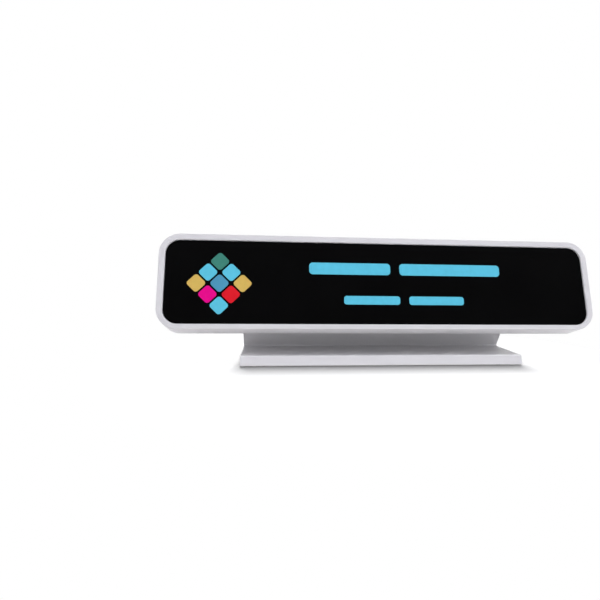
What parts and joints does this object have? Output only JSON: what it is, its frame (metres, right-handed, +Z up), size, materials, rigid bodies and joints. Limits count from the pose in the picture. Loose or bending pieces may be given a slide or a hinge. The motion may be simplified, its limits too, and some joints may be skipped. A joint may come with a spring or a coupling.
{
  "type": "desk name plate",
  "caption": "Desk name plate: thin black sign plate in a round-cornered white frame that leans back on a stand with a Z-shaped section, resting on rubber pads.",
  "frame": {"origin": "on the desk, at the middle of the object's outline seen from above", "axes": "+X along the sign, to the viewer's right; +Y to the back, away from the viewer; +Z up"},
  "size_m": [0.2612, 0.046, 0.0754],
  "materials": {
    "white_plastic": "satin moulded white plastic",
    "panel_plastic": "matte white plastic sheet",
    "black_plate": "matte black sign laminate",
    "print_ink": "flat sign ink in six colours, mostly light blue, on the plate's front",
    "foam_tape": "white foam tape",
    "screw_steel": "bright zinc plated",
    "pad_rubber": "matte black rubber"
  },
  "bodies": {
    "root": {"frame": "white_plastic", "insert_plate": "black_plate", "insert_tape_upper": "foam_tape", "insert_tape_lower": "foam_tape", "back_panel": "panel_plastic", "stand": "white_plastic", "stand_screws": "screw_steel", "foot_pad_front_left": "pad_rubber", "foot_pad_front_right": "pad_rubber", "foot_pad_rear_left": "pad_rubber", "foot_pad_rear_right": "pad_rubber"}
  },
  "joints": []
}
